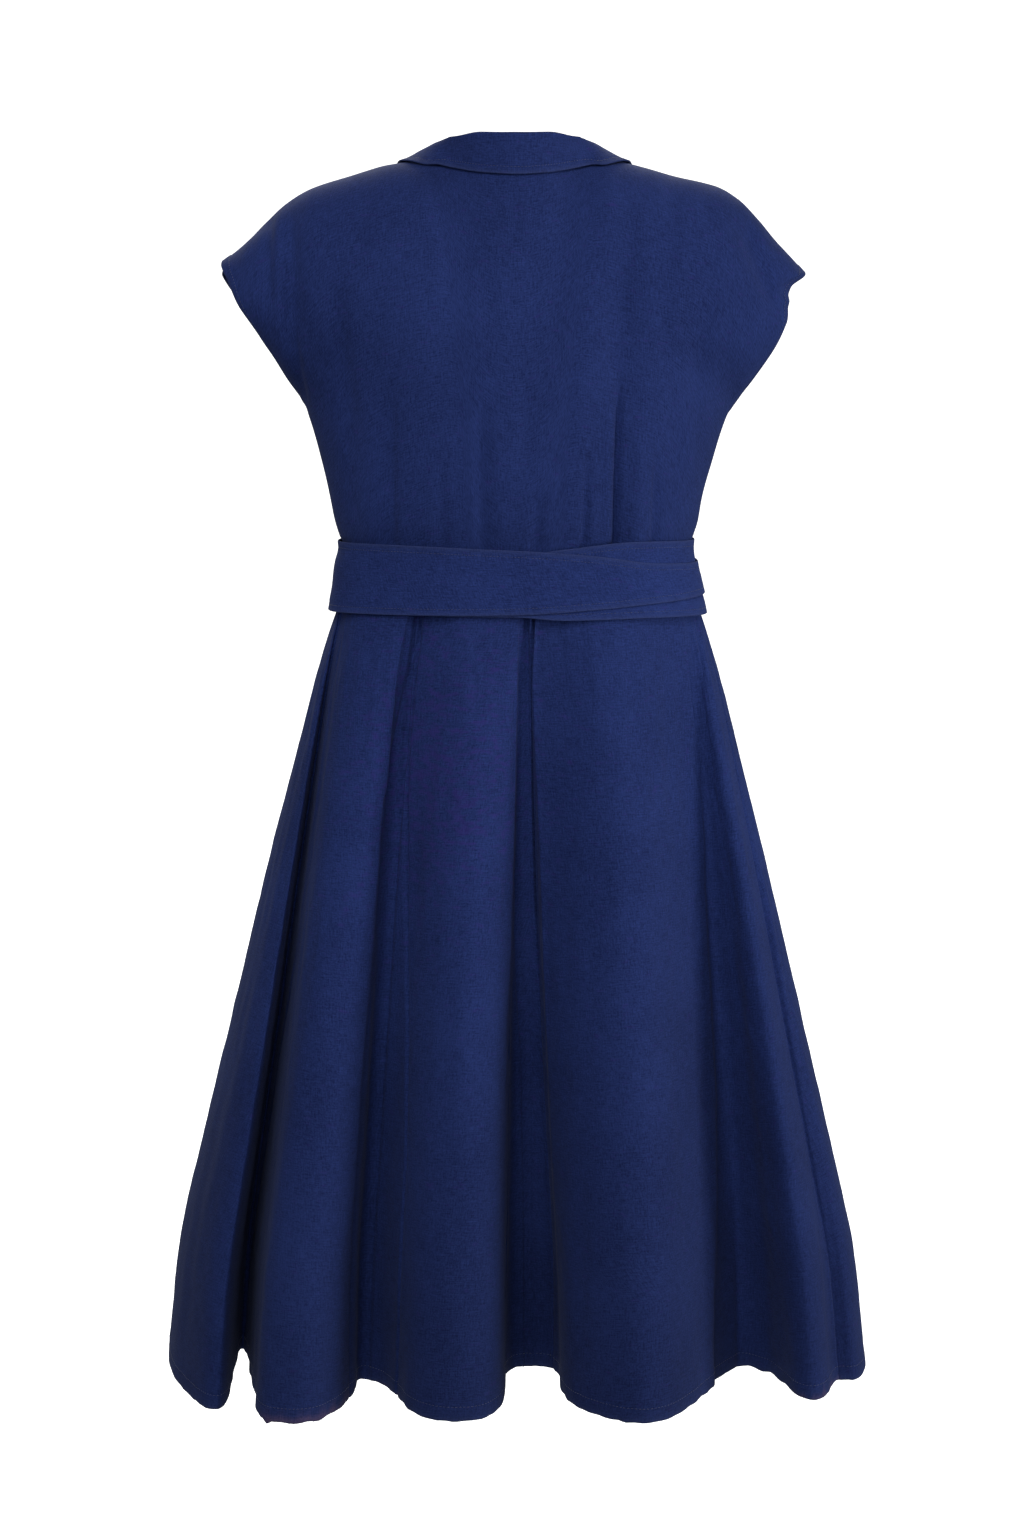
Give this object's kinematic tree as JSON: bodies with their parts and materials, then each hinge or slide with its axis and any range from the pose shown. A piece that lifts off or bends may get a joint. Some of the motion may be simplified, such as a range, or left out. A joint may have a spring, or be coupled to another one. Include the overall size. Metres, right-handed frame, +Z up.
{
  "type": "shirt dress",
  "caption": "Fitted shirt dress with a turned-down collar, cap sleeves, buttoned front, tied waist sash and full fluted skirt, filled out and hollow.",
  "frame": {"origin": "at the neck on the centre line, 6 mm above the point midway between the inner ends of the shoulder seams", "axes": "+Z up, from the hem to the collar; -Y is the wearer's front and +X the wearer's left"},
  "size_m": [0.6326, 0.4005, 1.0869],
  "materials": {
    "navy_cloth": "matte",
    "navy_button": "satin"
  },
  "bodies": {
    "root": {"bodice_back": "navy_cloth", "bodice_front_left": "navy_cloth", "bodice_front_right": "navy_cloth", "collar": "navy_cloth", "skirt_back_left": "navy_cloth", "skirt_back_right": "navy_cloth", "skirt_front_left": "navy_cloth", "skirt_front_right": "navy_cloth", "sash_inner_turn": "navy_cloth", "sash_outer_turn": "navy_cloth", "sash_knot": "navy_cloth", "sash_tail_short": "navy_cloth", "sash_tail_long": "navy_cloth", "button_1": "navy_button", "button_2": "navy_button", "button_3": "navy_button", "button_4": "navy_button", "button_5": "navy_button", "button_6": "navy_button", "button_7": "navy_button", "button_8": "navy_button", "button_9": "navy_button"}
  },
  "joints": []
}
